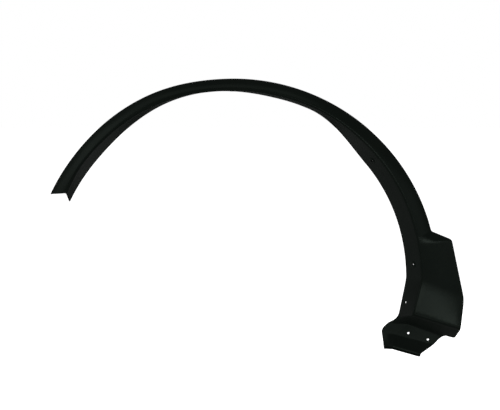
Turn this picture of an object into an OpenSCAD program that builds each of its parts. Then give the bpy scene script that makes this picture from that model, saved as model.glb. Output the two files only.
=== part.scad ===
// Wheel arch trim: one black moulding that edges the arch of a front wheel.
// A narrow face follows the arch, folds over a crease into an inboard flange,
// and widens behind the wheel into a foot with an underside and a screw tab.
// X runs rearward, Z up and Y inboard. Angles are taken at the wheel arch's
// centre, from the rear horizontal, upward and forward.
// The origin is the seat of the screw hole at the crown.

/* [Arch] */
// Radius of the outer edge, which lies on the wing
edge_radius = 430; // [400:1:460]
// Extra radius of the outer edge at its front shoulder
front_fullness = 3.5; // [0:0.5:8]
// Angle where the outer edge ends at the front tip
front_edge_angle = 153.9; // [152:0.1:156]
// Angle where the crease ends, in the notch of the front tip
front_crease_angle = 151.2; // [149:0.1:153]
// Angle where the flange ends at the front tip
front_flange_angle = 154; // [152:0.1:156]
// How far the front tip is swept inboard, round the wing
front_sweep = 14; // [6:0.5:22]

/* [Section] */
// Thickness of the moulded wall
wall = 2.8; // [2.2:0.1:3.4]
// Width of the face over the crown
crown_face_w = 25; // [22:0.5:28]
// Width of the face at the foot of the rear leg
rear_face_w = 35.5; // [31:0.5:40]
// Width of the face at the front tip
front_face_w = 32; // [28:0.5:36]
// How far the outer edge lies inboard of the crease
edge_setback = 12; // [9:0.5:15]
// Fullness of the face between its outer edge and the crease
face_bulge = 1.2; // [0.4:0.1:2]
// Depth of the lip that turns in along the outer edge
lip_depth = 7; // [6:0.5:9]
// Length of the rounding between the lip and the face
edge_round = 3.2; // [2.6:0.1:3.6]
// Radius of the crease between the face and the flange
crease_radius = 4.6; // [4:0.1:6]
// Depth of the flange, from the crease inboard
flange_depth = 36; // [32:0.5:40]
// How far the flange leans in under the crown
crown_lean = 6; // [3:0.5:8]
// How far the flange leans in down the rear leg
rear_lean = 27.5; // [24:0.5:32]
// How far the flange leans in at the front
front_lean = 17; // [12:0.5:22]

/* [Foot] */
// Angle where the foot's shoulder leaves the arch
shoulder_angle = 15; // [13:0.1:17]
// Length of the shoulder
shoulder_len = 46.5; // [40:0.5:52]
// Fall of the shoulder, in degrees
shoulder_fall = 22.5; // [16:0.5:28]
// How far the shoulder's end stands out from its start
shoulder_out = 3; // [1:0.5:5]
// Length of the rear edge
rear_edge_len = 130; // [120:1:140]
// Rake of the rear edge, in degrees
rear_edge_rake = 12.5; // [10:0.5:15]
// How far the rear edge comes out on its way down
rear_edge_out = 4; // [2:0.5:6]
// Length of the edge beside the kicked out part
kick_edge_len = 62; // [54:1:70]
// Rake of that edge, in degrees
kick_edge_rake = 8; // [4:0.5:12]
// Angle of the crease where the kicked out part starts
kick_angle = 0.8; // [-1:0.1:3]
// How far the bottom of the face is kicked out
kick_out = 9; // [5:0.5:13]
// Length of the crease beside the kicked out part
crease_tail_len = 72; // [64:1:80]
// Rake of that crease, in degrees
crease_tail_rake = 15.5; // [12:0.5:19]
// Drop of the underside, from the bottom crease to the tab
underside_drop = 28; // [25:0.5:31]

/* [Tab] */
// Reach of the tab, forward of the lower corner of the crease
tab_reach = 58; // [52:0.5:64]
// Height of the tab's front edge
tab_front_h = 42.5; // [38:0.5:48]
// Distance from that corner back to the tab's tip
tab_tip_back = 28; // [22:0.5:34]
// Distance from that corner down to the tab's tip
tab_tip_down = 98.5; // [92:0.5:104]
// How far the foot of the tab slopes inboard
tab_slope_in = 11; // [6:0.5:16]
// How far the tab's lower edge rises above a straight line
tab_foot_rise = 1.5; // [0:0.5:5]
// Height of the small lip under the tab
tab_lip_h = 4; // [3:0.5:5]
// Depth of the lip round the tab
tab_lip = 4; // [3:0.5:5]

/* [Screw holes] */
// Diameter of the four screw holes in the flange
screw_hole_d = 5; // [4.4:0.1:6]
// Diameter of the flat seat round the upper three of them
seat_d = 15; // [12:0.5:17]
// Thickness of that seat
seat_t = 4; // [3.6:0.1:5]
// How far inboard of the crease those screws sit
screw_inboard = 19; // [16:0.5:22]
// Angle of the screw hole at the crown
crown_screw_angle = 90; // [88:0.5:92]
// Angle of the screw hole in the upper rear flange
upper_screw_angle = 42; // [38:0.5:46]
// Angle of the screw hole beside the foot
lower_screw_angle = 6; // [4:0.5:9]
// Distance of the lowest screw hole below the start of the kicked out part
foot_screw_down = 46; // [40:0.5:52]
// How far inboard of the crease that screw sits
foot_screw_inboard = 30; // [26:0.5:33]
// Diameter of the two holes in the tab
tab_hole_d = 4.8; // [4.2:0.1:6.2]
// Distance from the lower corner of the crease back to the middle of the tab's holes
tab_holes_back = 20; // [16:0.5:24]
// Distance from that corner down to the middle of the tab's holes
tab_holes_down = 56.5; // [54:0.5:59]
// Distance between the two holes in the tab
tab_hole_pitch = 44.5; // [41:0.5:48]
// Tilt of the line through them, in degrees
tab_hole_tilt = 18.5; // [15:0.5:22]

/* [Clip towers] */
// Angles of the clip towers behind the face
tower_angles = [26, 56, 73, 107, 124, 140];
// Distance of a clip tower's middle from the foot's rear edge
foot_tower_in = 24; // [18:1:30]
// Length of a clip tower along the arch
tower_len = 24; // [20:1:28]
// Width of a clip tower
tower_w = 13; // [11:0.5:15]
// Clearance between a clip tower's top and the body
tower_clearance = 1; // [0.5:0.1:2]
// Wall of a clip tower
tower_wall = 1.8; // [1.5:0.1:2.4]
// Width of the slot that a clip's neck slides into
clip_slot_w = 6.5; // [5.5:0.1:7.5]
// Angles of the gussets between the face and the flange
gusset_angles = [20, 33, 49, 64, 81, 99, 116, 132, 147];
// Thickness of a gusset
gusset_t = 1.8; // [1.4:0.1:2.4]
// Width of a gusset over the face
gusset_w = 24; // [19:0.5:28]
// Height of a gusset up the flange, as a share of it
gusset_up = 0.75; // [0.6:0.05:0.85]
// Places of the clip towers down the foot, as shares of its rear edge
foot_towers = [0.25, 0.8];
// Places of the gussets beside the foot, as shares of its rear edge
foot_gussets = [0.15, 0.9];

/* [Hidden] */
// largest angle between two sections along the arch
step = 2;
// angles over which each width and lean changes, from its start to its end
fullness_comes = [92, 114];
fullness_goes = [146, 114];
face_widens = [66, -2];
front_widens = [141, 153];
crown_leans = [98, 76];
rear_leans = [67, 42.5];
front_leans = [97, 138];
// steps along the arch, which ends short of the shoulder, and down the parts of the foot
arch_end = shoulder_angle + 3;
arch_steps = ceil((front_crease_angle - arch_end) / step);
shoulder_steps = 4;
panel_steps = 6;
kick_steps = 3;
// the front tip sweeps inboard from this far behind the arch's centre
sweep_from = 120;
// the ends of edge and flange draw away from the crease's end over this angle
tip_angle = 16;

function lerp(p, q, f) = p + (q - p) * f;
// a smooth rise from 0 to 1 over a pair of angles
function ramp(v, over) =
    let (f = min(max((v - over[0]) / (over[1] - over[0]), 0), 1))
    f * f * (3 - 2 * f);
function bezier(p, q, r, f) = p * (1 - f) * (1 - f) + q * 2 * f * (1 - f) + r * f * f;
function unit(v) = v / norm(v);
function polar(r, a, y) = [r * cos(a), y, r * sin(a)];

// widths, leans and depths along the arch
function edge_r(a) =
    edge_radius + front_fullness * ramp(a, fullness_comes) * ramp(a, fullness_goes);
function arch_w(a) = lerp(crown_face_w, rear_face_w, ramp(a, face_widens));
function crease_r(a) =
    edge_r(a) - arch_w(a) - (front_face_w - crown_face_w) * ramp(a, front_widens);
function lean(a) =
    crown_lean * ramp(a, crown_leans)
    + (rear_lean - crown_lean) * ramp(a, rear_leans)
    + front_lean * ramp(a, front_leans);
function sweep(x) =
    front_sweep * pow(max(0, sweep_from - x) / (sweep_from + edge_radius), 2);
function swept(p) = p + [0, sweep(p[0]), 0];

edge_skew = front_edge_angle - front_crease_angle;
flange_skew = front_flange_angle - front_crease_angle;
function skew(a) =
    pow(2 * ramp(a, [front_crease_angle - tip_angle, front_crease_angle + tip_angle]), 2);

function edge_at(a) = swept(polar(edge_r(a), a, edge_setback));
function crease_at(a) = swept(polar(crease_r(a), a, 0));
function flange_at(a) = swept(polar(edge_r(a) - arch_w(a) - lean(a), a, flange_depth));

// a section's five corners: lip, edge, fullness of the face, crease and flange
function corners(edge, crease, flange, out, lip) = [
    edge + [0, lip, 0],
    edge,
    (edge + crease) / 2 + out * 2 * face_bulge,
    crease,
    flange
];
function face_out(edge, crease) =
    let (d = unit(edge - crease), r = norm([d[0], d[2]]))
    [d[0] * d[1] / r, -r, d[2] * d[1] / r];
function arch_row(a) =
    let (
        edge = edge_at(a + edge_skew * skew(a)),
        crease = crease_at(a),
        flange = flange_at(a + flange_skew * skew(a))
    )
    corners(edge, crease, flange, face_out(edge, crease), lip_depth);

// corner points of the foot, each step a length, a rake and a way outboard
function go(p, len, rake, out) = p + [-len * sin(rake), -out, -len * cos(rake)];
shoulder_start = edge_at(shoulder_angle);
shoulder_end = go(shoulder_start, shoulder_len, shoulder_fall - 90, shoulder_out);
kick_edge = go(shoulder_end, rear_edge_len, -rear_edge_rake, rear_edge_out);
bottom_edge = go(kick_edge, kick_edge_len, kick_edge_rake, kick_out + rear_edge_out);
kick_crease = crease_at(kick_angle);
corner = go(kick_crease, crease_tail_len, crease_tail_rake, kick_out);
// the foot's lip reaches the body everywhere, however far the face stands out from it
body_y = edge_setback + lip_depth;
function to_body(edge) = max(body_y - edge[1], tab_lip);

// a line across the foot's panel at a share of its height: edge, crease and flange
panel_top = shoulder_angle - 2.5;
function panel_line(f) =
    let (a = lerp(panel_top, kick_angle, f))
    [lerp(shoulder_end, kick_edge, f), crease_at(a), flange_at(a)];
function panel_row(f) =
    let (line = panel_line(f))
    corners(line[0], line[1], line[2], [0, -1, 0], to_body(line[0]));

// points under the corner of the crease: so far behind it, below it and at a depth
function below(x, z, y) = [corner[0] + x, y, corner[2] - z];
plate_y = flange_depth;
flange_foot = below(-23, 8, plate_y);
// the underside turns inboard from the bottom edge in two stages
turn_edge = bottom_edge + [-2, 22, -15];
turn_mid = below(-2, 14, plate_y / 2 - 6);
turn_flange = below(-29, 17, plate_y);
under_edge = bottom_edge + [-5, 40, -29];
under_mid = below(-4, underside_drop, plate_y);
under_flange = below(-44, 26, plate_y);
// the tab's plate hangs from the underside, and its foot slopes inboard
tab_edge = below(74, underside_drop + 25, plate_y);
tab_mid = below(-6, underside_drop + 6, plate_y);
tab_front = below(2 - tab_reach, underside_drop + 9, plate_y);
tab_tip = below(tab_tip_back, tab_tip_down, plate_y + tab_slope_in);
foot_front = tab_front + [3.5, 0, 2 - tab_front_h];
foot_mid = lerp(tab_tip, foot_front, 0.76) + [0, 0.7 * tab_slope_in, tab_foot_rise];
bend_front = tab_front + [-2.5, 0, -0.2 * tab_front_h];
bend_back = lerp(tab_edge, tab_tip, 0.5) + [2, -0.5 * tab_slope_in, 0];
bend_mid = lerp(bend_back, bend_front, 0.75);
lip_fall = [0, tab_lip_h, tab_lip_h];

function plate_row(edge, mid, flange, lip) = corners(edge, mid, flange, [0, -0.5, 0], lip);
bottom_row = plate_row(bottom_edge, corner, flange_foot, to_body(bottom_edge));
// [section, share of the stretch before and after it that is rounded, steps]
foot_rows = [
    [arch_row(arch_end), 0, 0, 0],
    [arch_row(shoulder_angle), 0.2, 0.4, 3],
    for (k = [1 : shoulder_steps - 1])
        [lerp(arch_row(shoulder_angle), panel_row(0), k / shoulder_steps), 0, 0, 0],
    [panel_row(0), 0.45, 0.2, 3],
    for (k = [1 : panel_steps - 1]) [panel_row(k / panel_steps), 0, 0, 0],
    [panel_row(1), 0.5, 0.84, 5],
    for (k = [1 : kick_steps - 1]) [lerp(panel_row(1), bottom_row, k / kick_steps), 0, 0, 0],
    [bottom_row, 0.3, 0.35, 5],
    [plate_row(turn_edge, turn_mid, turn_flange, tab_lip), 0.35, 0.35, 3],
    [plate_row(under_edge, under_mid, under_flange, tab_lip), 0.25, 0.3, 4],
    [plate_row(tab_edge, tab_mid, tab_front, tab_lip), 0.45, 0.5, 4],
    [plate_row(bend_back, bend_mid, bend_front, tab_lip), 0.12, 0.2, 3],
    [plate_row(tab_tip, foot_mid, foot_front, tab_lip), 0.2, 0.5, 3],
    [
        plate_row(tab_tip - lip_fall - [1, 0, 0], foot_mid - lip_fall, foot_front - lip_fall, tab_lip),
        0, 0, 0
    ],
];

function rounded(i) =
    let (k = foot_rows[i], n = k[3])
    n == 0
        ? [k[0]]
        : let (
            start = lerp(k[0], foot_rows[i - 1][0], k[1]),
            stop = lerp(k[0], foot_rows[i + 1][0], k[2])
        )
        [for (j = [0 : n]) bezier(start, k[0], stop, j / n)];
rows = [
    for (k = [0 : arch_steps - 1]) arch_row(lerp(front_crease_angle, arch_end, k / arch_steps)),
    for (i = [0 : len(foot_rows) - 1]) each rounded(i)
];

// a true arc of the crease's radius at corner q, between its neighbours p and r
function arc_corner(p, q, r, radius, n) =
    let (
        u = unit(p - q), v = unit(r - q),
        turn = 180 - acos(max(-1, min(1, u * v))),
        reach = min(radius * tan(turn / 2), 0.45 * norm(p - q), 0.45 * norm(r - q))
    )
    turn < 2
        ? [for (j = [0 : n]) lerp(q + u * radius / 2, q + v * radius / 2, j / n)]
        : let (
            c = q + unit(u + v) * reach / sin(turn / 2),
            s = q + u * reach - c, e = q + v * reach - c
        )
        [for (j = [0 : n]) c + (s * sin(turn * (1 - j / n)) + e * sin(turn * j / n)) / sin(turn)];

// steps round the edge, over the face, round the crease and down the flange
edge_steps = 3;
face_steps = 4;
crease_steps = 5;
flange_steps = 5;
function section(i) =
    let (
        k = rows[i],
        run = rows[min(i + 1, len(rows) - 1)][1] - rows[max(i - 1, 0)][1],
        square = norm(cross(unit(run), unit(k[2] - k[1]))),
        reach = min(edge_round / max(square, 0.4), 0.4 * norm(k[2] - k[1])),
        round_in = min(edge_round, 0.6 * norm(k[0] - k[1])),
        start = k[1] + unit(k[0] - k[1]) * round_in,
        stop = k[1] + unit(k[2] - k[1]) * reach,
        crease = arc_corner(k[2], k[3], k[4], crease_radius, crease_steps)
    )
    concat(
        [k[0]],
        [for (j = [0 : edge_steps]) bezier(start, k[1], stop, j / edge_steps)],
        [for (j = [1 : face_steps - 1]) bezier(stop, k[2], crease[0], j / face_steps)],
        crease,
        [for (j = [1 : flange_steps]) lerp(crease[crease_steps], k[4], j / flange_steps)]
    );

outer = [for (i = [0 : len(rows) - 1]) section(i)];
n_rows = len(outer);
n_cols = len(outer[0]);
facing = [
    for (i = [0 : n_rows - 2]) [
        for (j = [0 : n_cols - 2])
            cross(outer[i + 1][j + 1] - outer[i][j], outer[i + 1][j] - outer[i][j + 1])
    ]
];
function normal(i, j) =
    let (
        a = max(i - 1, 0), b = min(i, n_rows - 2),
        c = max(j - 1, 0), d = min(j, n_cols - 2)
    )
    unit(unit(facing[a][c]) + unit(facing[a][d]) + unit(facing[b][c]) + unit(facing[b][d]));
inner = [
    for (i = [0 : n_rows - 1]) [for (j = [0 : n_cols - 1]) outer[i][j] - wall * normal(i, j)]
];

function quad(a, b, c, d) = [[a, b, c], [a, c, d]];
// number of a point of the outer side (0) or the inner side (1)
function at(side, i, j) = (side * n_rows + i) * n_cols + j;
// a cell of the surface, split along its shorter diagonal
function cell(side, i, j) =
    let (
        a = at(side, i, j), b = at(side, i + 1, j),
        c = at(side, i + 1, j + 1), d = at(side, i, j + 1),
        long = norm(outer[i + 1][j + 1] - outer[i][j]) > norm(outer[i + 1][j] - outer[i][j + 1])
    )
    long ? quad(b, c, d, a) : quad(a, b, c, d);
function turned(faces) = [for (f = faces) [f[2], f[1], f[0]]];
last_row = n_rows - 1;
last_col = n_cols - 1;
shell_faces = [
    for (i = [0 : n_rows - 2]) for (j = [0 : n_cols - 2]) each cell(0, i, j),
    for (i = [0 : n_rows - 2]) for (j = [0 : n_cols - 2]) each turned(cell(1, i, j)),
    for (i = [0 : n_rows - 2])
        each quad(at(0, i, 0), at(1, i, 0), at(1, i + 1, 0), at(0, i + 1, 0)),
    for (i = [0 : n_rows - 2])
        each quad(
            at(0, i, last_col), at(0, i + 1, last_col), at(1, i + 1, last_col), at(1, i, last_col)
        ),
    for (j = [0 : n_cols - 2])
        each quad(at(0, 0, j), at(0, 0, j + 1), at(1, 0, j + 1), at(1, 0, j)),
    for (j = [0 : n_cols - 2])
        each quad(
            at(0, last_row, j), at(1, last_row, j), at(1, last_row, j + 1), at(0, last_row, j + 1)
        )
];

module shell() {
    polyhedron(points = [each each outer, each each inner], faces = shell_faces, convexity = 12);
}

// a point of the flange and the way its outer side faces there
function flange_point(a, f) = lerp(crease_at(a), flange_at(a), f);
function flange_spot(a) =
    let (f = screw_inboard / flange_depth)
    [
        flange_point(a, f),
        unit(cross(flange_at(a) - crease_at(a), flange_point(a - 1, f) - flange_point(a + 1, f)))
    ];
crown_spot = [flange_spot(crown_screw_angle)[0], [0, 0, -1]];
foot_share = foot_screw_down / crease_tail_len;
foot_crease = lerp(kick_crease, corner, foot_share);
foot_flange = lerp(flange_at(kick_angle), flange_foot, foot_share);
foot_spot = [
    lerp(foot_crease, foot_flange, foot_screw_inboard / (foot_flange[1] - foot_crease[1])),
    unit(cross(foot_flange - foot_crease, corner - kick_crease))
];
// the flange's holes have seats, and the one beside the kicked out part goes through the wall
seat_spots = [crown_spot, flange_spot(upper_screw_angle), flange_spot(lower_screw_angle)];
screw_spots = concat(seat_spots, [foot_spot]);
seat_proud = (seat_t - wall) / 2;
tab_holes_at = below(tab_holes_back, tab_holes_down, plate_y);

module facing_along(spot) {
    way = spot[1];
    translate(spot[0])
        rotate([0, acos(way[2]), atan2(way[1], way[0])])
            children();
}
module seat(spot) {
    facing_along(spot)
        translate([0, 0, seat_proud - seat_t])
            cylinder(d = seat_d, h = seat_t, $fn = 48);
}
module screw_hole(spot) {
    facing_along(spot)
        translate([0, 0, -seat_t - 2])
            cylinder(d = screw_hole_d, h = seat_t + 6, $fn = 48);
}
module tab_holes() {
    for (side = [-1, 1])
        translate(tab_holes_at)
            rotate([0, tab_hole_tilt, 0])
                translate([side * tab_hole_pitch / 2, -2, 0])
                    rotate([-90, 0, 0])
                        cylinder(d = tab_hole_d, h = wall + 4, $fn = 48);
}

// a plate across the arch: its outline runs from the crease out to the edge, and inboard
module across(edge, crease, thick) {
    translate([crease[0], 0, crease[2]])
        rotate([0, -atan2(edge[2] - crease[2], edge[0] - crease[0]), 0])
            linear_extrude(thick, center = true)
                children();
}
function span(edge, crease) = norm([edge[0] - crease[0], edge[2] - crease[2]]);
// depth of the middle of the face's wall, at a distance from the crease
function mid_wall(edge, crease, s) =
    crease[1] + (edge[1] - crease[1]) * s / span(edge, crease) - face_bulge / 2 + wall / 2;

// a clip tower: two walls and a slotted top that a clip's neck slides into
module tower(edge, crease, middle, body) {
    near = middle - tower_w / 2;
    far = middle + tower_w / 2;
    top = body - tower_clearance;
    function foot(s) = [s, mid_wall(edge, crease, s)];
    difference() {
        across(edge, crease, tower_len)
            polygon([
                foot(near), [near, top], [far, top], foot(far),
                foot(far - tower_wall), [far - tower_wall, top - tower_wall],
                [near + tower_wall, top - tower_wall], foot(near + tower_wall)
            ]);
        across(edge, crease, clip_slot_w)
            translate([middle, top - tower_wall / 2])
                square([clip_slot_w, tower_wall + 1], center = true);
    }
}

// a point as its distance from the crease and its depth, in the plate across the arch
function in_plate(edge, crease, p) =
    let (out = unit([edge[0] - crease[0], 0, edge[2] - crease[2]]))
    [(p - crease) * out, p[1]];

// a gusset: a triangular web in the fold between the face and the flange
module gusset(edge, crease, flange) {
    w = min(span(edge, crease) - 5, gusset_w);
    fold = in_plate(edge, crease, crease);
    u = unit(in_plate(edge, crease, edge) - fold);
    v = unit(in_plate(edge, crease, flange) - fold);
    half = acos(u * v) / 2;
    root = fold + unit(u + v) * (crease_radius / sin(half) - crease_radius + wall / 2);
    up = in_plate(edge, crease, lerp(crease, flange, gusset_up)) + [v[1], -v[0]] * wall / 2;
    across(edge, crease, gusset_t)
        polygon([root, [w, mid_wall(edge, crease, w)], up]);
}

module hidden_side() {
    for (a = tower_angles)
        tower(
            edge_at(a), crease_at(a), span(edge_at(a), crease_at(a)) / 2,
            edge_at(a)[1] + lip_depth
        );
    for (a = gusset_angles)
        gusset(edge_at(a), crease_at(a), flange_at(a));
    for (f = foot_towers) {
        line = panel_line(f);
        tower(line[0], line[1], span(line[0], line[1]) - foot_tower_in, body_y);
    }
    for (f = foot_gussets) {
        line = panel_line(f);
        gusset(line[0], line[1], line[2]);
    }
}

module arch_trim() {
    color([0.08, 0.085, 0.08])
        translate(-crown_spot[0] + [0, 0, seat_proud])
            difference() {
                union() {
                    shell();
                    hidden_side();
                    for (spot = seat_spots) seat(spot);
                }
                for (spot = screw_spots) screw_hole(spot);
                tab_holes();
            }
}

arch_trim();
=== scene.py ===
# %% [markdown]
# # A wheel arch trim
# The real object is one long moulding of black grained plastic. It edges the
# opening of a front wheel: a narrow face follows the arch, folds over a crease
# into a flange that turns in under the arch, and widens behind the wheel into a
# foot with an underside and a screw tab. The solid of the same part is already
# packed, so the first thing to do is to load it: it gives the frame, in metres,
# and the box that the finished piece has to stay inside.

# %% Load the part and keep its box
import math

import bpy
from mathutils import Matrix, Vector


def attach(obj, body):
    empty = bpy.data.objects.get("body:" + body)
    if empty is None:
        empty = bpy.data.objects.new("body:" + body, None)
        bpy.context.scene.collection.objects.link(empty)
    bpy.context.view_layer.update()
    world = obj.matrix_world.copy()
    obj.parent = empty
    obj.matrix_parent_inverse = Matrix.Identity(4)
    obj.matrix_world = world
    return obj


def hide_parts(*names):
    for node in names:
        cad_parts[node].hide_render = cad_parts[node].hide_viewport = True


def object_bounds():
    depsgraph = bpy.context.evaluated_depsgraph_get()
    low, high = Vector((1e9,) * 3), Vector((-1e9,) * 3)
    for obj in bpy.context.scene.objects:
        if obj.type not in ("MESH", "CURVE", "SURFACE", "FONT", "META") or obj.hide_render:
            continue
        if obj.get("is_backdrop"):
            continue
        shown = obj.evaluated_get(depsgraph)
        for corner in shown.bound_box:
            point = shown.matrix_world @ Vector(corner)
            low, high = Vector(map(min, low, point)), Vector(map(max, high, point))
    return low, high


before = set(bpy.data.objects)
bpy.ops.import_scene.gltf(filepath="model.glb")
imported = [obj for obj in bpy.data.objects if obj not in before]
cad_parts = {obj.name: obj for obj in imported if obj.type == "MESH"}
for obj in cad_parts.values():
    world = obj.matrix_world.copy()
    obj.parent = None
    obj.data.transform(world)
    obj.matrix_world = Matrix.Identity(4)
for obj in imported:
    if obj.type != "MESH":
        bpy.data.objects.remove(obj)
solid_box = [list(corner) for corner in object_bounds()]
print("box of the solid, mm:", [[round(1000 * c) for c in corner] for corner in solid_box])

# %% [markdown]
# ## Where the camera stands
# The photograph looks straight at the outer side of the trim, a little from
# above, with a long lens: the front tip is as large as the foot. A camera 2.2 m
# away that looks down by seven degrees gives the same outline. The look-at point
# is the middle of the picture, and no lens shift is needed. The lens follows from
# how many millimetres of the trim one pixel of the picture shows.

# %% The camera
MM = 0.001
CAMERA_AWAY = 2200
CAMERA_PITCH = math.radians(7)
PICTURE_MIDDLE = Vector((33.8, -14.67, -235.45)) * MM
MM_PER_PIXEL = 2.087
PICTURE_W = 500
SENSOR_W = 36

camera = bpy.data.objects.new("camera", bpy.data.cameras.new("camera"))
bpy.context.scene.collection.objects.link(camera)
camera.data.sensor_width = SENSOR_W
camera.data.lens = SENSOR_W * (CAMERA_AWAY / MM_PER_PIXEL) / PICTURE_W
camera.data.clip_end = 60
looking = Vector((0, math.cos(CAMERA_PITCH), -math.sin(CAMERA_PITCH)))
camera.location = PICTURE_MIDDLE - CAMERA_AWAY * MM * looking
camera.rotation_euler = (math.pi / 2 - CAMERA_PITCH, 0, 0)
bpy.context.scene.camera = camera
print("lens, mm:", round(camera.data.lens, 1))

# %% [markdown]
# ## The sizes of the section
# A moulder would describe the trim by its section: a lip that turns in along the
# outer edge, the rounded edge, the face, the crease and the flange. A curve with
# a bevel profile would sweep one fixed section, but here all its sizes change
# slowly along the arch. So each section is kept as five corners, in millimetres,
# and a few functions say where the corners are at any angle of the arch. Angles
# are taken at the wheel arch's centre, from the rear horizontal, upward and
# forward. The sizes are the solid's own, and a pair of angles says where a size
# starts and stops to change.

# %% Sizes across the arch, in millimetres and degrees
EDGE_RADIUS = 430
FRONT_FULLNESS = 3.5
FULL_FROM, FULL_AT, FULL_TO = 92, 114, 146
CROWN_FACE, REAR_FACE, FRONT_FACE = 25, 35.5, 32
REAR_WIDENS, FRONT_WIDENS = (66, -2), (141, 153)
EDGE_SETBACK, FLANGE_DEPTH = 12, 36
CROWN_LEAN, REAR_LEAN, FRONT_LEAN = 6, 27.5, 17
CROWN_LEANS, REAR_LEANS, FRONT_LEANS = (98, 76), (67, 42.5), (97, 138)
FRONT_SWEEP, SWEEP_FROM = 14, 120
print("face at the crown, mm:", CROWN_FACE, "flange:", FLANGE_DEPTH)


# %% Small helpers for points
def ramp(v, start, stop):
    """Goes softly from 0 to 1 while v goes from start to stop."""
    f = min(max((v - start) / (stop - start), 0), 1)
    return f * f * (3 - 2 * f)


def bezier(p, q, r, f):
    """A point on the curve from p to r that q pulls outward."""
    return p * (1 - f) ** 2 + q * (2 * f * (1 - f)) + r * f * f


def polar(r, angle, y):
    a = math.radians(angle)
    return Vector((r * math.cos(a), y, r * math.sin(a)))


def mix_rows(a, b, f):
    return [p.lerp(q, f) for p, q in zip(a, b)]


print("a quarter of the way along a ramp:", ramp(1, 0, 4))


# %% Where edge, crease and flange lie at an angle of the arch
def edge_r(a):
    return EDGE_RADIUS + FRONT_FULLNESS * ramp(a, FULL_FROM, FULL_AT) * ramp(a, FULL_TO, FULL_AT)


def face_w(a):
    return CROWN_FACE + (REAR_FACE - CROWN_FACE) * ramp(a, *REAR_WIDENS)


def lean(a):
    """How far the flange leans towards the wheel's centre."""
    rear = (REAR_LEAN - CROWN_LEAN) * ramp(a, *REAR_LEANS)
    return CROWN_LEAN * ramp(a, *CROWN_LEANS) + rear + FRONT_LEAN * ramp(a, *FRONT_LEANS)


def swept(p):
    """Moves a point inboard, more and more towards the front tip."""
    share = max(0, SWEEP_FROM - p.x) / (SWEEP_FROM + EDGE_RADIUS)
    return p + Vector((0, FRONT_SWEEP * share ** 2, 0))


def edge_at(a):
    return swept(polar(edge_r(a), a, EDGE_SETBACK))


def crease_at(a):
    widening = (FRONT_FACE - CROWN_FACE) * ramp(a, *FRONT_WIDENS)
    return swept(polar(edge_r(a) - face_w(a) - widening, a, 0))


def flange_at(a):
    return swept(polar(edge_r(a) - face_w(a) - lean(a), a, FLANGE_DEPTH))


print("crown, mm:", [round(c, 1) for c in edge_at(90)], [round(c, 1) for c in flange_at(90)])


# %% [markdown]
# ## Five corners make a section
# The face isn't flat: it is a little full between the edge and the crease, so its
# middle corner is pushed out, twice as far as the curve through it will reach. At
# the front tip the crease ends short of the edge and the flange, which leaves the
# small notch that the photograph shows. Cutting the notch out later would leave
# sharp walls, so the last sections are skewed instead.

# %% The corners of one section
FACE_BULGE = 1.2
LIP_DEPTH = 7
FRONT_EDGE, FRONT_CREASE, FRONT_FLANGE = 153.9, 151.2, 154
TIP_ANGLE = 16


def corners(edge, crease, flange, out, lip):
    full = (edge + crease) / 2 + out * 2 * FACE_BULGE
    return [edge + Vector((0, lip, 0)), edge, full, crease, flange]


def face_out(edge, crease):
    """The direction in which the face looks."""
    d = (edge - crease).normalized()
    r = math.hypot(d.x, d.z)
    return Vector((d.x * d.y / r, -r, d.z * d.y / r))


def arch_row(a):
    # the ramp is halfway up at the tip's crease, so the skew is 1 there
    skew = (2 * ramp(a, FRONT_CREASE - TIP_ANGLE, FRONT_CREASE + TIP_ANGLE)) ** 2
    edge = edge_at(a + (FRONT_EDGE - FRONT_CREASE) * skew)
    crease = crease_at(a)
    flange = flange_at(a + (FRONT_FLANGE - FRONT_CREASE) * skew)
    return corners(edge, crease, flange, face_out(edge, crease), LIP_DEPTH)


print("corners at the front tip, mm:", [[round(c) for c in p] for p in arch_row(FRONT_CREASE)])

# %% [markdown]
# ## The corners of the foot
# Behind the wheel the same five corners leave the arch. The edge steps out along
# the shoulder and down the rear edge, the lower part of the face is kicked
# outboard, and then the face turns inboard as the underside and goes on down as
# the plate of the screw tab. The lower part of the tab slopes inboard and ends in
# a small lip. The foot could be a second piece that is joined on, but on the real
# moulding the wall runs through without a seam, so it is the same strip.

# %% Sizes of the foot, in millimetres and degrees
SHOULDER_ANGLE, PANEL_TOP, KICK_ANGLE = 15, 12.5, 0.8
SHOULDER_LEN, SHOULDER_RAKE, SHOULDER_OUT = 46.5, -67.5, 3
REAR_EDGE_LEN, REAR_EDGE_RAKE, REAR_EDGE_OUT = 130, -12.5, 4
KICK_OUT = 9
KICK_EDGE_LEN, KICK_EDGE_RAKE, KICK_EDGE_OUT = 62, 8, KICK_OUT + 4
KICK_CREASE_LEN, KICK_CREASE_RAKE = 72, 15.5


def go(p, length, rake, out):
    """From a point, down by a length that is raked forward, and outboard."""
    a = math.radians(rake)
    return p + Vector((-length * math.sin(a), -out, -length * math.cos(a)))


shoulder_end = go(edge_at(SHOULDER_ANGLE), SHOULDER_LEN, SHOULDER_RAKE, SHOULDER_OUT)
kick_edge = go(shoulder_end, REAR_EDGE_LEN, REAR_EDGE_RAKE, REAR_EDGE_OUT)
bottom_edge = go(kick_edge, KICK_EDGE_LEN, KICK_EDGE_RAKE, KICK_EDGE_OUT)
kick_crease = crease_at(KICK_ANGLE)
corner = go(kick_crease, KICK_CREASE_LEN, KICK_CREASE_RAKE, KICK_OUT)
print("bottom of the foot's edge, mm:", [round(c, 1) for c in bottom_edge])


# %% Rows of the panel and of the plate below it
TAB_LIP = 4
OUTBOARD = Vector((0, -1, 0))


def panel_line(f):
    """Edge, crease and flange of the panel, from its top at 0 to the kick at 1."""
    a = PANEL_TOP + (KICK_ANGLE - PANEL_TOP) * f
    return shoulder_end.lerp(kick_edge, f), crease_at(a), flange_at(a)


def lip_to_body(edge):
    """The lip's depth where it still has to reach back to the body."""
    return max(EDGE_SETBACK + LIP_DEPTH - edge.y, TAB_LIP)


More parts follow.
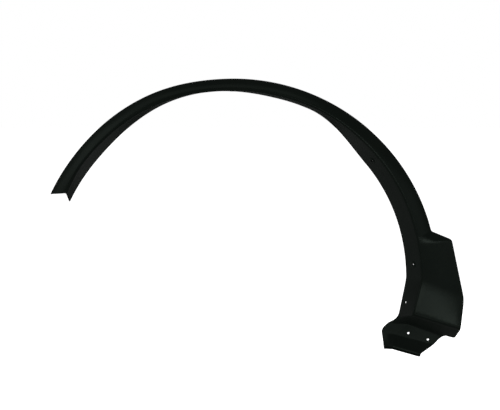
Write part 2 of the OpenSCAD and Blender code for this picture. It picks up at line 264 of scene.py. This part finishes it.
def panel_row(f):
    edge, crease, flange = panel_line(f)
    return corners(edge, crease, flange, OUTBOARD, lip_to_body(edge))


def plate_row(edge, mid, flange, lip=TAB_LIP):
    return corners(edge, mid, flange, OUTBOARD / 2, lip)


def below(x, z, y=FLANGE_DEPTH):
    """A point by its distance behind and below the foot's inner corner."""
    return Vector((corner.x + x, y, corner.z - z))


print("panel at its top, mm:", [[round(c) for c in p] for p in panel_row(0)])

# %% Corner points of the underside and the tab
UNDERSIDE_DROP = 28
TAB_REACH, TAB_FRONT_H, TAB_SLOPE, TAB_RISE, TAB_LIP_H = 58, 42.5, 11, 1.5, 4

flange_foot = below(-23, 8)
tab_edge = below(74, UNDERSIDE_DROP + 25)
tab_front = below(2 - TAB_REACH, UNDERSIDE_DROP + 9)
tab_tip = below(28, 98.5, FLANGE_DEPTH + TAB_SLOPE)
foot_front = tab_front + Vector((3.5, 0, 2 - TAB_FRONT_H))
foot_mid = tab_tip.lerp(foot_front, 0.76) + Vector((0, 0.7 * TAB_SLOPE, TAB_RISE))
bend_front = tab_front + Vector((-2.5, 0, -0.2 * TAB_FRONT_H))
bend_back = tab_edge.lerp(tab_tip, 0.5) + Vector((2, -0.5 * TAB_SLOPE, 0))
lip_fall = Vector((0, TAB_LIP_H, TAB_LIP_H))
print("lowest point of the tab, mm:", [round(c, 1) for c in tab_tip])

# %% Key rows of the foot, from the shoulder down to the tab's lip
bottom_row = plate_row(bottom_edge, corner, flange_foot, lip_to_body(bottom_edge))
fold_row = plate_row(bottom_edge + Vector((-2, 22, -15)), below(-2, 14, FLANGE_DEPTH / 2 - 6),
                     below(-29, 17))
underside_row = plate_row(bottom_edge + Vector((-5, 40, -29)), below(-4, UNDERSIDE_DROP),
                          below(-44, 26))
tab_row = plate_row(tab_edge, below(-6, UNDERSIDE_DROP + 6), tab_front)
bend_row = plate_row(bend_back, bend_back.lerp(bend_front, 0.75), bend_front)
tip_row = plate_row(tab_tip, foot_mid, foot_front)
lip_row = plate_row(tab_tip - lip_fall - Vector((1, 0, 0)), foot_mid - lip_fall,
                    foot_front - lip_fall)

# each entry: the row, and the share of the stretch before and after it that is rounded
arch_end = SHOULDER_ANGLE + 3
foot_rows = [
    (arch_row(arch_end), 0, 0),
    (arch_row(SHOULDER_ANGLE), 0.2, 0.1),
    (panel_row(0), 0.1125, 0.2),
    *[(panel_row(k / 6), 0, 0) for k in range(1, 6)],
    (panel_row(1), 0.5, 0.28),
    (bottom_row, 0.1, 0.35),
    (fold_row, 0.35, 0.35),
    (underside_row, 0.25, 0.3),
    (tab_row, 0.45, 0.5),
    (bend_row, 0.12, 0.2),
    (tip_row, 0.2, 0.5),
    (lip_row, 0, 0),
]
print("key rows of the foot:", len(foot_rows))


# %% [markdown]
# ## From key rows to close rows
# A smooth moulding needs rows that lie close together, and round at each key
# row. A subdivision surface would round them all alike, and pull the strip off
# its sizes. Instead each key row is replaced by a short curve between its
# neighbours, and long stretches are filled in, so that no two rows are more than
# a few millimetres apart. Close rows make the reflections run smoothly later.

# %% Round the key rows and fill the stretches
ARCH_STEP = 0.75
ROUND_STEPS = 9
LONGEST_STEP = 6


def rounded(i):
    row, before, after = foot_rows[i]
    if not before and not after:
        return [row]
    start = mix_rows(row, foot_rows[i - 1][0], before)
    stop = mix_rows(row, foot_rows[i + 1][0], after)
    steps = [k / ROUND_STEPS for k in range(ROUND_STEPS + 1)]
    return [[bezier(p, q, r, f) for p, q, r in zip(start, row, stop)] for f in steps]


def filled(rows):
    out = [rows[0]]
    for row in rows[1:]:
        gap = max((p - q).length for p, q in zip(row, out[-1]))
        count = math.ceil(gap / LONGEST_STEP)
        before = out[-1]
        out += [mix_rows(before, row, k / count) for k in range(1, count + 1)]
    return out


arch_count = math.ceil((FRONT_CREASE - arch_end) / ARCH_STEP)
rows = [arch_row(FRONT_CREASE + (arch_end - FRONT_CREASE) * k / arch_count)
        for k in range(arch_count)]
for i in range(len(foot_rows)):
    rows += rounded(i)
rows = filled(rows)
print("rows along the trim:", len(rows))


# %% [markdown]
# ## The outline of one section
# Across the trim the five corners become a smooth line too: the lip, a rounded
# edge, the full face, a true arc at the crease and the flange. The crease could
# be bevelled once the strip is there, but a bevel would crowd its points where
# the strip bends. The arc's radius is what catches the light as the thin pale
# line along the crease.

# %% The arc at the crease
CREASE_RADIUS = 4.6
CREASE_STEPS = 8
NEARLY_FLAT = math.radians(2)
MOST_OF_SIDE = 0.45


def crease_arc(p, q, r):
    """Points on the arc that rounds the corner q between p and r."""
    u, v = (p - q).normalized(), (r - q).normalized()
    turn = math.pi - u.angle(v)
    steps = [k / CREASE_STEPS for k in range(CREASE_STEPS + 1)]
    if turn < NEARLY_FLAT:
        a, b = q + u * CREASE_RADIUS / 2, q + v * CREASE_RADIUS / 2
        return [a.lerp(b, f) for f in steps]
    reach = min(CREASE_RADIUS * math.tan(turn / 2),
                MOST_OF_SIDE * (p - q).length, MOST_OF_SIDE * (r - q).length)
    middle = q + (u + v).normalized() * reach / math.sin(turn / 2)
    s, e = q + u * reach - middle, q + v * reach - middle
    return [middle + (s * math.sin(turn * (1 - f)) + e * math.sin(turn * f)) / math.sin(turn)
            for f in steps]


crown_arc = crease_arc(edge_at(90), crease_at(90), flange_at(90))
print("crease at the crown, mm:", [round(c, 2) for c in crown_arc[CREASE_STEPS // 2]])

# %% A dense section from five corners
LIP_STEPS, EDGE_STEPS, FACE_STEPS, FLANGE_STEPS = 2, 5, 8, 8
EDGE_ROUND = 3.2
MOST_OF_LIP, MOST_OF_FACE = 0.6, 0.4
LEAST_SQUARE = 0.4


def section(i):
    lip, edge, full, crease, flange = rows[i]
    # where the edge runs slantwise over the section, its rounding is stretched
    run = rows[min(i + 1, len(rows) - 1)][1] - rows[max(i - 1, 0)][1]
    square = run.normalized().cross((full - edge).normalized()).length
    reach = min(EDGE_ROUND / max(square, LEAST_SQUARE), MOST_OF_FACE * (full - edge).length)
    start = edge + (lip - edge).normalized() * min(EDGE_ROUND, MOST_OF_LIP * (lip - edge).length)
    stop = edge + (full - edge).normalized() * reach
    arc = crease_arc(full, crease, flange)
    line = [lip.lerp(start, k / LIP_STEPS) for k in range(LIP_STEPS)]
    line += [bezier(start, edge, stop, k / EDGE_STEPS) for k in range(EDGE_STEPS + 1)]
    line += [bezier(stop, full, arc[0], k / FACE_STEPS) for k in range(1, FACE_STEPS)]
    line += arc
    line += [arc[-1].lerp(flange, k / FLANGE_STEPS) for k in range(1, FLANGE_STEPS + 1)]
    return line


sections = [section(i) for i in range(len(rows))]
print("points across the section:", len(sections[0]))

# %% [markdown]
# ## Moulding the strip
# A flat grid is the sheet of plastic before it is moulded. It gets one row of
# points for each section, and every point is then pressed to its place. Extruding
# an edge hundreds of times would give the same strip in far more steps. The
# origin is the seat of the screw hole at the crown, so all points are shifted
# there on the way. At the end the faces are checked to point to the outer side.

# %% Screw places, and the shift to the seat of the crown's screw
WALL = 2.8
SEAT_T = 4
SEAT_PROUD = (SEAT_T - WALL) / 2
SCREW_SHARE = 19 / FLANGE_DEPTH
shift = Vector((0, 0, SEAT_PROUD)) - crease_at(90).lerp(flange_at(90), SCREW_SHARE)


def to_frame(p):
    """From millimetres at the arch's centre to metres in the shared frame."""
    return (p + shift) * MM


print("shift to the origin, mm:", [round(c, 2) for c in shift])


# %% Helpers that work on one piece
def deselect():
    bpy.ops.object.select_all(action="DESELECT")


def only(piece):
    deselect()
    piece.select_set(True)
    bpy.context.view_layer.objects.active = piece


def settle(piece):
    """Applies the object's place, turn and scale to its mesh."""
    only(piece)
    bpy.ops.object.transform_apply(location=True, rotation=True, scale=True)


def apply_modifiers(piece):
    only(piece)
    for modifier in list(piece.modifiers):
        bpy.ops.object.modifier_apply(modifier=modifier.name)


def edit_all(piece, operator, **settings):
    """Runs an edit mode operator on everything in the piece."""
    only(piece)
    bpy.ops.object.mode_set(mode="EDIT")
    bpy.ops.mesh.select_all(action="SELECT")
    operator(**settings)
    bpy.ops.object.mode_set(mode="OBJECT")


# %% Press the grid into the shape
across, along = len(sections[0]) - 1, len(sections) - 1
deselect()
bpy.ops.mesh.primitive_grid_add(x_subdivisions=across, y_subdivisions=along, size=1)
trim = bpy.context.object
trim.name = "moulded_trim"
for vertex in trim.data.vertices:
    j = round((vertex.co.x + 0.5) * across)
    i = round((vertex.co.y + 0.5) * along)
    vertex.co = to_frame(sections[i][j])
trim.data.update()

on_crown = to_frame(polar(EDGE_RADIUS - CROWN_FACE / 2, 90, EDGE_SETBACK / 2))
crown_face = min(trim.data.polygons, key=lambda face: (face.center - on_crown).length)
if crown_face.normal.y > 0:
    edit_all(trim, bpy.ops.mesh.flip_normals)
print("faces of the strip:", len(trim.data.polygons))

# %% [markdown]
# ## Wall and rims
# Solidify gives the strip its wall, inward from the outer side, as the mould's
# core does. A moulded rim is never knife sharp, so a small bevel is laid on the
# edges that turn sharply: only the rims do, because the crease and the outer edge
# are already round. Points that fall together in the tight bends are welded. The
# round rows pass the solid's box by a few hundredths of a millimetre at the
# outermost points, and are held to it.

# %% Ways to weld and to soften a piece
def weld(piece, distance):
    """Merges points that lie closer than a distance in millimetres."""
    edit_all(piece, bpy.ops.mesh.remove_doubles, threshold=distance * MM)


def soften(piece, width, angle):
    """Rounds the edges that turn by more than an angle, and applies all modifiers."""
    bevel = piece.modifiers.new("soft", "BEVEL")
    bevel.width = width * MM
    bevel.segments = 2
    bevel.limit_method = "ANGLE"
    bevel.angle_limit = math.radians(angle)
    apply_modifiers(piece)


print("points before welding:", len(trim.data.vertices))

# %% Give the strip its wall and soften the rims
RIM_ROUND, RIM_ANGLE = 0.5, 55
WELD_SHELL = 0.05

wall = trim.modifiers.new("wall", "SOLIDIFY")
wall.thickness = WALL * MM
wall.offset = -1
soften(trim, RIM_ROUND, RIM_ANGLE)
weld(trim, WELD_SHELL)
for vertex in trim.data.vertices:
    vertex.co = [min(max(c, low), high) for c, low, high in zip(vertex.co, *solid_box)]
trim.data.update()
print("faces with wall and rims:", len(trim.data.polygons))

# %% [markdown]
# ## Screw seats and holes
# The upper three screws in the flange bear on flat round seats that stand a
# little proud of both sides of the wall. The lowest one goes through the plain
# wall, so light falls through its hole. A seat is a cylinder with a rounded rim,
# turned to face along the screw. The holes are cut last, so they go through wall
# and seat in one stroke.

# %% Where the screws are and how they face
FOOT_SCREW_DOWN, FOOT_SCREW_IN = 46, 30


def flange_spot(a):
    """A point on the flange at an angle of the arch, and the direction it faces."""
    point = crease_at(a).lerp(flange_at(a), SCREW_SHARE)
    before = crease_at(a - 1).lerp(flange_at(a - 1), SCREW_SHARE)
    after = crease_at(a + 1).lerp(flange_at(a + 1), SCREW_SHARE)
    return point, (flange_at(a) - crease_at(a)).cross(before - after).normalized()


foot_share = FOOT_SCREW_DOWN / KICK_CREASE_LEN
foot_crease = kick_crease.lerp(corner, foot_share)
foot_flange = flange_at(KICK_ANGLE).lerp(flange_foot, foot_share)
foot_spot = (foot_crease.lerp(foot_flange, FOOT_SCREW_IN / (foot_flange.y - foot_crease.y)),
             (foot_flange - foot_crease).cross(corner - kick_crease).normalized())
screw_spots = {
    "crown": (flange_spot(90)[0], Vector((0, 0, -1))),
    "upper": flange_spot(42),
    "lower": flange_spot(6),
    "foot": foot_spot,
}
print("screws in the flange:", list(screw_spots))

# %% Model the seats
SEAT_D, SEAT_SIDES = 15, 64
SEAT_ROUND, SEAT_ANGLE = 0.35, 40


def round_bar(name, spot, way, diameter, length, sides):
    """A cylinder around a spot, in millimetres, that lies along a direction."""
    deselect()
    bpy.ops.mesh.primitive_cylinder_add(vertices=sides, radius=diameter * MM / 2,
                                        depth=length * MM)
    bar = bpy.context.object
    bar.name = name
    turn = way.to_track_quat("Z", "Y").to_matrix().to_4x4()
    bar.matrix_world = Matrix.Translation(to_frame(spot)) @ turn
    settle(bar)
    return bar


additions = []
for name in ("crown", "upper", "lower"):
    point, way = screw_spots[name]
    seat = round_bar("seat_" + name, point - way * (WALL / 2), way, SEAT_D, SEAT_T, SEAT_SIDES)
    soften(seat, SEAT_ROUND, SEAT_ANGLE)
    additions.append(seat)
print("seats:", len(additions))


# %% [markdown]
# ## Clip towers
# On the hidden side the face carries clip towers: small bridges with a slot in
# the top, which a clip's neck slides into. A tower that is put together from
# plates would have seams, so it starts as a block whose foot follows the slope of
# the face. Its two ends are inset and bridged, which leaves a tunnel with an even
# wall, and a square cutter opens the slot.

# %% A block with eight corners, and a way to cut one piece with another
def block(name, places):
    """A cube whose corners are moved to eight places, by their side on x, y and z."""
    deselect()
    bpy.ops.mesh.primitive_cube_add(size=2)
    piece = bpy.context.object
    piece.name = name
    for vertex in piece.data.vertices:
        x, y, z = (c > 0 for c in vertex.co)
        vertex.co = to_frame(places[(x, y, z)])
    piece.data.update()
    edit_all(piece, bpy.ops.mesh.normals_make_consistent, inside=False)
    return piece


def combine(piece, other, operation):
    boolean = piece.modifiers.new(operation.lower(), "BOOLEAN")
    boolean.operation = operation
    boolean.solver = "EXACT"
    boolean.object = other
    apply_modifiers(piece)
    bpy.data.objects.remove(other)


print("pieces so far:", [piece.name for piece in additions])


# %% The plate that a tower or a gusset stands in
def plate(edge, crease):
    """Directions out from the crease and along the arch, for a plate across the trim."""
    out = Vector((edge.x - crease.x, 0, edge.z - crease.z))
    reach = out.length
    out = out / reach
    return out, out.cross(Vector((0, 1, 0))), reach


def mid_wall(edge, crease, s, reach):
    """The depth of the middle of the face's wall, at a distance s from the crease."""
    return crease.y + (edge.y - crease.y) * s / reach - FACE_BULGE / 2 + WALL / 2


def standing_block(name, edge, crease, middle, width, length, foot_depth, top):
    """A block behind the face, from foot_depth(s) to a top that is level."""
    out, along_arch, reach = plate(edge, crease)
    root = Vector((crease.x, 0, crease.z))
    places = {}
    for far in (False, True):
        s = middle + width / 2 * (1 if far else -1)
        for end in (False, True):
            at = root + out * s + along_arch * length / 2 * (1 if end else -1)
            places[(far, end, False)] = at + Vector((0, foot_depth(s), 0))
            places[(far, end, True)] = at + Vector((0, top, 0))
    return block(name, places)


print("width of the face at 26 degrees, mm:", round(plate(edge_at(26), crease_at(26))[2], 1))

# %% One clip tower
TOWER_LEN, TOWER_W, TOWER_WALL, SLOT_W = 24, 13, 1.8, 6.5
TOWER_CLEARANCE, TOWER_SINK = 1, 0.2
CUT_PAST = 0.5
ALONG = 0.9


def pick_faces(piece, wanted):
    """Selects faces by a test. They stay selected only if edit mode selects faces."""
    only(piece)
    bpy.ops.object.mode_set(mode="EDIT")
    bpy.ops.mesh.select_mode(type="FACE")
    bpy.ops.mesh.select_all(action="DESELECT")
    bpy.ops.object.mode_set(mode="OBJECT")
    for face in piece.data.polygons:
        face.select = wanted(face)


def tunnel(piece, wall):
    """Insets the two picked end faces of a block and bridges them."""
    bpy.ops.object.mode_set(mode="EDIT")
    bpy.ops.mesh.inset(thickness=wall * MM, depth=0)
    bpy.ops.mesh.bridge_edge_loops()
    bpy.ops.object.mode_set(mode="OBJECT")
    edit_all(piece, bpy.ops.mesh.normals_make_consistent, inside=False)


def tower(name, edge, crease, middle, body_y):
    out, along_arch, reach = plate(edge, crease)
    top = body_y - TOWER_CLEARANCE
    piece = standing_block(name, edge, crease, middle, TOWER_W, TOWER_LEN,
                           lambda s: mid_wall(edge, crease, s, reach) - TOWER_SINK, top)
    pick_faces(piece, lambda face: abs(face.normal.dot(along_arch)) > ALONG)
    tunnel(piece, TOWER_WALL)
    slot = standing_block(name + "_slot", edge, crease, middle, SLOT_W, SLOT_W,
                          lambda s: top - TOWER_WALL - CUT_PAST, top + CUT_PAST)
    combine(piece, slot, "DIFFERENCE")
    return piece


print("a tower, mm:", TOWER_LEN, "by", TOWER_W)

# %% Model the clip towers
TOWER_ANGLES = [26, 56, 73, 107, 124, 140]
FOOT_TOWER_SHARES, FOOT_TOWER_IN = [0.25, 0.8], 24

for k, a in enumerate(TOWER_ANGLES):
    edge, crease = edge_at(a), crease_at(a)
    middle = plate(edge, crease)[2] / 2
    additions.append(tower(f"clip_tower_{k + 1}", edge, crease, middle, edge.y + LIP_DEPTH))
for k, f in enumerate(FOOT_TOWER_SHARES):
    edge, crease, flange = panel_line(f)
    middle = plate(edge, crease)[2] - FOOT_TOWER_IN
    additions.append(tower(f"foot_tower_{k + 1}", edge, crease, middle, EDGE_SETBACK + LIP_DEPTH))
print("faces of one tower:", len(additions[-1].data.polygons))

# %% [markdown]
# ## Gussets
# Between the towers, thin triangular webs stiffen the fold between the face and
# the flange. A cube would need two of its edges merged, so a three sided cylinder
# is the quicker start: its six points are moved to the root of the fold, out
# along the face and up the flange.

# %% One gusset
GUSSET_T, GUSSET_W, GUSSET_UP, GUSSET_FROM_EDGE = 1.8, 24, 0.75, 5


def gusset(name, edge, crease, flange):
    out, along_arch, reach = plate(edge, crease)

    def in_plate(p):
        return Vector(((p - crease).dot(out), p.y))

    fold = in_plate(crease)
    u, v = (in_plate(edge) - fold).normalized(), (in_plate(flange) - fold).normalized()
    half = u.angle(v) / 2
    inward = CREASE_RADIUS / math.sin(half) - CREASE_RADIUS + WALL / 2
    root = fold + (u + v).normalized() * inward
    w = min(reach - GUSSET_FROM_EDGE, GUSSET_W)
    face_end = Vector((w, mid_wall(edge, crease, w, reach)))
    up = in_plate(crease.lerp(flange, GUSSET_UP)) + Vector((v.y, -v.x)) * WALL / 2
    deselect()
    bpy.ops.mesh.primitive_cylinder_add(vertices=3, radius=1, depth=2)
    web = bpy.context.object
    web.name = name
    foot = Vector((crease.x, 0, crease.z))
    # the cylinder's points come in pairs, one from each end
    for n, vertex in enumerate(web.data.vertices):
        s, y = (root, face_end, up)[n // 2]
        side = along_arch * GUSSET_T / 2 * (1 if n % 2 else -1)
        vertex.co = to_frame(foot + out * s + Vector((0, y, 0)) + side)
    web.data.update()
    edit_all(web, bpy.ops.mesh.normals_make_consistent, inside=False)
    return web


print("a gusset, mm:", GUSSET_W, "by", FLANGE_DEPTH * GUSSET_UP)

# %% Model the gussets
GUSSET_ANGLES = [20, 33, 49, 64, 81, 99, 116, 132, 147]
FOOT_GUSSET_SHARES = [0.15, 0.9]

for k, a in enumerate(GUSSET_ANGLES):
    additions.append(gusset(f"gusset_{k + 1}", edge_at(a), crease_at(a), flange_at(a)))
for k, f in enumerate(FOOT_GUSSET_SHARES):
    additions.append(gusset(f"foot_gusset_{k + 1}", *panel_line(f)))
print("pieces moulded on:", len(additions))

# %% [markdown]
# ## One moulding
# Seats, towers and gussets are moulded with the shell, so they are joined to it
# as one closed skin: first to each other, then by one union with the shell. Left
# loose they would hide faces inside the wall. Then the screw holes are drilled,
# the flange's along their own directions and the tab's along the depth of the
# part. The last weld merges the points that the cuts leave very close together,
# and the count of open edges shows that the skin is closed.

# %% Join what is moulded on, and unite it with the shell
deselect()
for piece in additions:
    piece.select_set(True)
bpy.context.view_layer.objects.active = additions[0]
bpy.ops.object.join()
combine(trim, additions[0], "UNION")
print("faces after the union:", len(trim.data.polygons))

# %% Drill the holes
SCREW_HOLE, TAB_HOLE, DRILL_SIDES = 5, 4.8, 48
DRILL_LEN, TAB_DRILL_LEN = SEAT_T + 4, 16
TAB_HOLES_APART, TAB_HOLES_TILT = 44.5, math.radians(18.5)

drills = []
for name, (point, way) in screw_spots.items():
    drills.append(round_bar("drill_" + name, point - way * (WALL / 2), way, SCREW_HOLE,
                            DRILL_LEN, DRILL_SIDES))
tab_middle = below(20, 56.5)
along_tab = Vector((math.cos(TAB_HOLES_TILT), 0, -math.sin(TAB_HOLES_TILT)))
for name, side in (("drill_tab_front", -1), ("drill_tab_rear", 1)):
    spot = tab_middle + side * TAB_HOLES_APART / 2 * along_tab
    drills.append(round_bar(name, spot, Vector((0, 1, 0)), TAB_HOLE, TAB_DRILL_LEN, DRILL_SIDES))
for drill in drills:
    combine(trim, drill, "DIFFERENCE")
print("holes:", len(drills))

# %% Weld and smooth the finished skin
WELD_SKIN = 0.02
SMOOTH_BELOW = math.radians(32)

weld(trim, WELD_SKIN)
bpy.ops.object.shade_smooth_by_angle(angle=SMOOTH_BELOW)
faces_on_edge = {}
for face in trim.data.polygons:
    for key in face.edge_keys:
        faces_on_edge[key] = faces_on_edge.get(key, 0) + 1
open_edges = sum(1 for n in faces_on_edge.values() if n != 2)
print("faces:", len(trim.data.polygons), "open edges:", open_edges)

# %% [markdown]
# ## Black grained plastic
# Trims like this are moulded in black plastic with a fine grain that keeps them
# from shining. The colour is nearly black with a trace of green and grey, and
# it isn't quite even. A photograph of the grain would have to be wrapped round
# the arch, so the grain is a fine cell pattern in the bump instead, with a
# coarser unevenness below it. The pattern reads object coordinates, so it keeps
# its real size everywhere.

# %% The plastic's colour
DARK_PLASTIC = (0.0019, 0.0028, 0.0022, 1)
PALE_PLASTIC = (0.0029, 0.0039, 0.0032, 1)

plastic = bpy.data.materials.new("black_grained_plastic")
plastic.use_nodes = True
nodes, links = plastic.node_tree.nodes, plastic.node_tree.links
skin = nodes["Principled BSDF"]


def node(kind, values=None, **settings):
    """Adds a node to the tree at hand, with its settings and the values of its inputs."""
    made = nodes.new(kind)
    for key, value in settings.items():
        setattr(made, key, value)
    for key, value in (values or {}).items():
        made.inputs[key].default_value = value
    return made


def noise(scale, detail, roughness=0.5):
    made = node("ShaderNodeTexNoise", {"Scale": scale, "Detail": detail, "Roughness": roughness})
    links.new(place.outputs["Object"], made.inputs["Vector"])
    return made


place = node("ShaderNodeTexCoord")
tone = node("ShaderNodeValToRGB")
for element, position, colour in zip(tone.color_ramp.elements, (0.3, 0.75),
                                     (DARK_PLASTIC, PALE_PLASTIC)):
    element.position = position
    element.color = colour
links.new(noise(scale=14, detail=3).outputs["Fac"], tone.inputs["Fac"])
links.new(tone.outputs["Color"], skin.inputs["Base Color"])
print("nodes for the colour:", len(nodes))

# %% Its grain
grain = node("ShaderNodeTexVoronoi", {"Scale": 1100}, feature="SMOOTH_F1")
links.new(place.outputs["Object"], grain.inputs["Vector"])
fine = node("ShaderNodeBump", {"Strength": 0.35, "Distance": 0.00006})
links.new(grain.outputs["Distance"], fine.inputs["Height"])
coarse = node("ShaderNodeBump", {"Strength": 0.12, "Distance": 0.0004})
links.new(noise(scale=60, detail=2).outputs["Fac"], coarse.inputs["Height"])
links.new(fine.outputs["Normal"], coarse.inputs["Normal"])
links.new(coarse.outputs["Normal"], skin.inputs["Normal"])
print("grains per metre:", grain.inputs["Scale"].default_value)

# %% [markdown]
# ## Its gloss
# The grain scatters light most where the surface is seen at a glancing angle, so
# such plastic doesn't flash white along its edges as smooth plastic does. Layer
# Weight says how glancing the view is. Its square is added to the roughness, which
# is a little uneven too, and the weak specular level keeps the rest nearly matt.

# %% Gloss that fades at glancing angles
ROUGHNESS_RANGE = (0.18, 0.25)
GLANCING_ROUGHNESS = 1.6


def between(source, low, high):
    """Turns a value from 0 to 1 into one from low to high."""
    made = node("ShaderNodeMapRange", {"To Min": low, "To Max": high})
    links.new(source, made.inputs["Value"])
    return made.outputs["Result"]


glancing = node("ShaderNodeLayerWeight", {"Blend": 0.5})
squared = node("ShaderNodeMath", {1: 2}, operation="POWER")
links.new(glancing.outputs["Facing"], squared.inputs[0])
blur = node("ShaderNodeMath", operation="ADD", use_clamp=True)
uneven = noise(scale=45, detail=4, roughness=0.6)
links.new(between(uneven.outputs["Fac"], *ROUGHNESS_RANGE), blur.inputs[0])
links.new(between(squared.outputs[0], 0.0, GLANCING_ROUGHNESS), blur.inputs[1])
links.new(blur.outputs[0], skin.inputs["Roughness"])
skin.inputs["IOR"].default_value = 1.45
skin.inputs["Specular IOR Level"].default_value = 0.034
skin.inputs["Specular Tint"].default_value = (0.81, 1.0, 0.87, 1)
print("nodes in the plastic:", len(nodes))

# %% Dress the trim
trim.data.materials.clear()
trim.data.materials.append(plastic)
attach(trim, "root")
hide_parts("arch_trim")
print("material of the trim:", trim.data.materials[0].name)

# %% [markdown]
# ## The stage
# The photograph shows the trim on pure white, with no floor in sight. So the
# world is white for rays that look at it, straight or by reflection, and lights
# the part only softly. A pale matt floor lies well below the part, where it
# takes a soft shadow in views from above. Near the part its glow is kept low,
# which paints a pale grey pool of shade round that shadow, and the part's gloss
# mirrors the pool too. Further out it is lifted to the same white, and no
# horizon shows. Brighter lamps would whiten the floor too, but they would wash
# out the black.

# %% Rays that see white
WHITE_RAYS = ("Is Camera Ray", "Is Glossy Ray", "Is Transmission Ray")


def sees_white():
    """1 for rays from the camera, from gloss and through glass."""
    path = node("ShaderNodeLightPath")
    total = path.outputs[WHITE_RAYS[0]]
    for name in WHITE_RAYS[1:]:
        larger = node("ShaderNodeMath", operation="MAXIMUM")
        links.new(total, larger.inputs[0])
        links.new(path.outputs[name], larger.inputs[1])
        total = larger.outputs[0]
    return total


print("rays that see white:", len(WHITE_RAYS))

# %% Floor
FLOOR_DROP = 0.50
FLOOR_SIZE = 40
FLOOR_COLOUR = (0.62, 0.62, 0.62, 1)
# a pale grey pool of shade is painted round the part: the floor's glow is low near this middle
# and rises to white further out
SHADOW_MIDDLE = (0.2, -0.3)
FLOOR_WHITE_PAST_PAINTED_POOL = {"From Min": 0.3, "From Max": 1.3, "To Min": 0.26, "To Max": 1.0}

deselect()
floor_z = solid_box[0][2] - FLOOR_DROP
bpy.ops.mesh.primitive_plane_add(size=FLOOR_SIZE, location=(0, 0, floor_z))
floor = bpy.context.object
floor.name = "floor"
settle(floor)
paper = bpy.data.materials.new("white_paper")
paper.use_nodes = True
nodes, links = paper.node_tree.nodes, paper.node_tree.links
nodes.clear()

place = node("ShaderNodeTexCoord")
distance = node("ShaderNodeVectorMath", {1: (*SHADOW_MIDDLE, floor_z)}, operation="DISTANCE")
links.new(place.outputs["Object"], distance.inputs[0])
# a glow that is low under the part paints a pale grey pool of shade there, and the part's gloss
# mirrors it
white_past_painted_pool = node("ShaderNodeMapRange", FLOOR_WHITE_PAST_PAINTED_POOL, interpolation_type="SMOOTHSTEP")
links.new(distance.outputs["Value"], white_past_painted_pool.inputs["Value"])
matt = node("ShaderNodeBsdfDiffuse", {"Color": FLOOR_COLOUR})
glow = node("ShaderNodeEmission")
links.new(white_past_painted_pool.outputs["Result"], glow.inputs["Strength"])
bright = node("ShaderNodeAddShader")
links.new(matt.outputs["BSDF"], bright.inputs[0])
links.new(glow.outputs["Emission"], bright.inputs[1])
choice = node("ShaderNodeMixShader")
links.new(sees_white(), choice.inputs["Fac"])
links.new(matt.outputs["BSDF"], choice.inputs[1])
links.new(bright.outputs["Shader"], choice.inputs[2])
surface = node("ShaderNodeOutputMaterial")
links.new(choice.outputs["Shader"], surface.inputs["Surface"])
floor.data.materials.append(paper)
floor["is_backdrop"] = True
print("floor below the part, mm:", round(FLOOR_DROP / MM))

# %% World
WHITE = (1, 1, 1, 1)
SOFT_LIGHT = 0.32

world = bpy.data.worlds.new("studio")
bpy.context.scene.world = world
world.use_nodes = True
nodes, links = world.node_tree.nodes, world.node_tree.links
nodes.clear()
soft = node("ShaderNodeBackground", {"Color": WHITE, "Strength": SOFT_LIGHT})
white = node("ShaderNodeBackground", {"Color": WHITE})
choice = node("ShaderNodeMixShader")
links.new(sees_white(), choice.inputs["Fac"])
links.new(soft.outputs["Background"], choice.inputs[1])
links.new(white.outputs["Background"], choice.inputs[2])
sky = node("ShaderNodeOutputWorld")
links.new(choice.outputs["Shader"], sky.inputs["Surface"])
bpy.context.scene.view_settings.view_transform = "Standard"
print("soft light of the world:", SOFT_LIGHT)

# %% [markdown]
# ## Lamps
# Black plastic shows its form by what it mirrors, so each lamp stands where one
# family of faces mirrors it. The main lamp is far in front and a little to the
# right: the kicked out bottom of the foot mirrors it and the panel above doesn't,
# as in the photograph. One above takes the crown, one at the left the front leg,
# one at the right the rear leg, and weak low ones the tab and the flanges. A lamp
# behind brings out the hidden side. They are soft and are kept out of sight.
# Together with the world they light a grey card on the face to about its own
# grey, so the plastic's colour is the one that is written in its nodes.

# %% Soft lamps
ON_ARCH, ON_FOOT = (0.05, 0, -0.25), (0.43, 0, -0.46)
ON_TAB, BESIDE_TAB = (0.42, 0, -0.54), (0.35, 0, -0.54)
ON_FRONT_LEG = (-0.3, 0, -0.05)

# name, place and target in metres, width and height in metres, watts
LAMPS = [
    ("lamp_right", (2.85, -9.0, 0.80), ON_FOOT, (3.0, 1.8), 240),
    ("lamp_left_low", (-1.0, 0.25, -0.5), ON_FOOT, (0.5, 0.5), 0.65),
    ("lamp_side", (2.5, -2.3, 0.0), ON_FOOT, (1.2, 1.2), 7.2),
    ("lamp_above", (-0.5, -2.5, 2.4), ON_ARCH, (4.2, 1.0), 27),
    ("lamp_low", (0.52, -0.55, -0.73), ON_TAB, (0.36, 0.22), 0.58),
    ("lamp_low_left", (-1.2, -1.3, -0.66), BESIDE_TAB, (0.5, 0.3), 1.0),
    ("lamp_left", (-2.4, -2.0, 0.95), ON_ARCH, (1.6, 1.6), 32),
    ("lamp_behind", (0.6, 3.0, 0.5), ON_ARCH, (2.4, 1.6), 29),
    ("lamp_behind_low", (0.32, 1.0, -0.83), ON_FRONT_LEG, (0.8, 0.6), 1.5),
]


def soft_lamp(name, place, target, size, power):
    data = bpy.data.lights.new(name, "AREA")
    data.shape = "RECTANGLE"
    data.size, data.size_y = size
    data.energy = power
    lamp = bpy.data.objects.new(name, data)
    bpy.context.scene.collection.objects.link(lamp)
    lamp.location = place
    lamp.rotation_euler = (Vector(target) - Vector(place)).to_track_quat("-Z", "Y").to_euler()
    lamp.visible_camera = False


for lamp in LAMPS:
    soft_lamp(*lamp)
print("lamps:", len(LAMPS))

# %% [markdown]
# ## Last checks
# The finished piece has to stay inside the box of the solid. The corners of its
# box are printed as their difference from the solid's, in millimetres.

# %% Write the sizes and finish
visual_box = [list(c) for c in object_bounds()]
for visual, solid in zip(visual_box, solid_box):
    print("visual minus solid, mm:", [round(1000 * (v - s), 2) for v, s in zip(visual, solid)])
